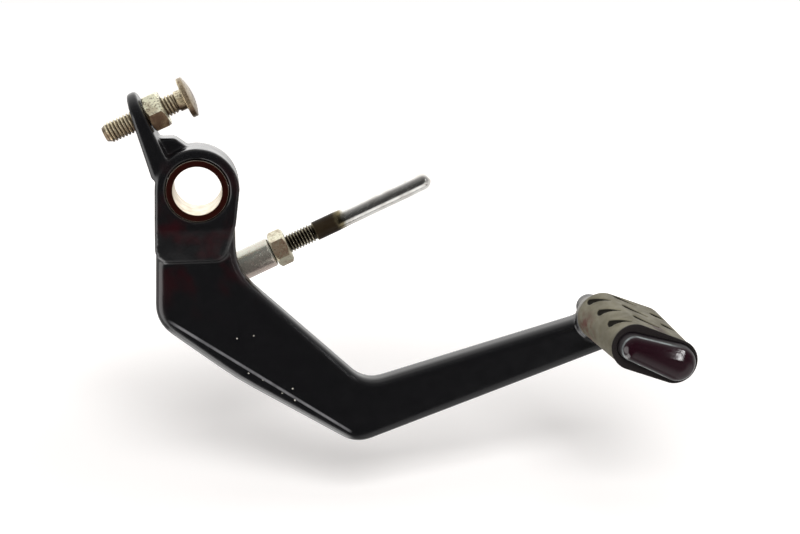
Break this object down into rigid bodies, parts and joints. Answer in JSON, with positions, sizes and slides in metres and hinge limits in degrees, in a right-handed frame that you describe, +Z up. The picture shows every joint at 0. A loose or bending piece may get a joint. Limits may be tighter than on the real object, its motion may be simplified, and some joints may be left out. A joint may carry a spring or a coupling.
{
  "type": "motorcycle brake foot lever",
  "caption": "Cranked black foot lever on a pivot sleeve, with a rubber toe peg, a stop bolt and lock nut on an ear, and a pinned, threaded push rod with a round nose.",
  "frame": {"origin": "on the pivot axis, at the middle of the boss's length", "axes": "+X towards the toe peg, +Y inboard along the pivot, away from the toe peg's free end, +Z up as in the picture"},
  "size_m": [0.1696, 0.0661, 0.1136],
  "materials": {
    "black_paint": "satin black paint over a forging",
    "sleeve_steel": "plain steel with old grease",
    "ring_rubber": "matt",
    "toe_rubber": "matt, worn",
    "old_zinc": "aged yellowish plating",
    "pale_zinc": "pale plating",
    "joint_steel": "grey plating",
    "bright_steel": "bright"
  },
  "bodies": {
    "pivot_sleeve": {"pivot_sleeve": "sleeve_steel"},
    "lever": {"lever_body": "black_paint", "outer_grease_ring": "ring_rubber", "inner_grease_ring": "ring_rubber", "toe_rubber": "toe_rubber", "joint_pin": "bright_steel", "joint_washer": "pale_zinc", "split_pin": "pale_zinc"},
    "push_rod_joint": {"push_rod_joint": "joint_steel"},
    "push_rod": {"push_rod": "bright_steel"},
    "push_rod_lock_nut": {"push_rod_lock_nut": "pale_zinc"},
    "stop_bolt": {"stop_bolt": "old_zinc"},
    "stop_lock_nut": {"stop_lock_nut": "old_zinc"}
  },
  "joints": [
    {"name": "pedal_swing", "type": "hinge", "parent": "pivot_sleeve", "child": "lever", "pos_m": [0, 0, 0], "axis": [0, 1, 0], "range_deg": [0, 14], "stiffness_Nm_per_rad": 1.2, "springref_deg": -20.05},
    {"name": "rod_joint_swing", "type": "hinge", "parent": "lever", "child": "push_rod_joint", "pos_m": [0.0022, 0.01855, -0.0333], "axis": [0, 1, 0], "continuous": true},
    {"name": "push_rod_adjust", "type": "slide", "parent": "push_rod_joint", "child": "push_rod", "axis": [0.9143, 0, 0.4051], "range_m": [-0.004, 0.004]},
    {"name": "push_rod_nut_spin", "type": "hinge", "parent": "push_rod_joint", "child": "push_rod_lock_nut", "pos_m": [0.0022, 0.01855, -0.0333], "axis": [0.9143, 0, 0.4051], "continuous": true},
    {"name": "stop_bolt_adjust", "type": "slide", "parent": "lever", "child": "stop_bolt", "axis": [0.9164, 0, 0.4003], "range_m": [-0.004, 0.006]},
    {"name": "stop_nut_spin", "type": "hinge", "parent": "lever", "child": "stop_lock_nut", "pos_m": [-0.0151, 0, 0.0202], "axis": [0.9164, 0, 0.4003], "continuous": true}
  ]
}
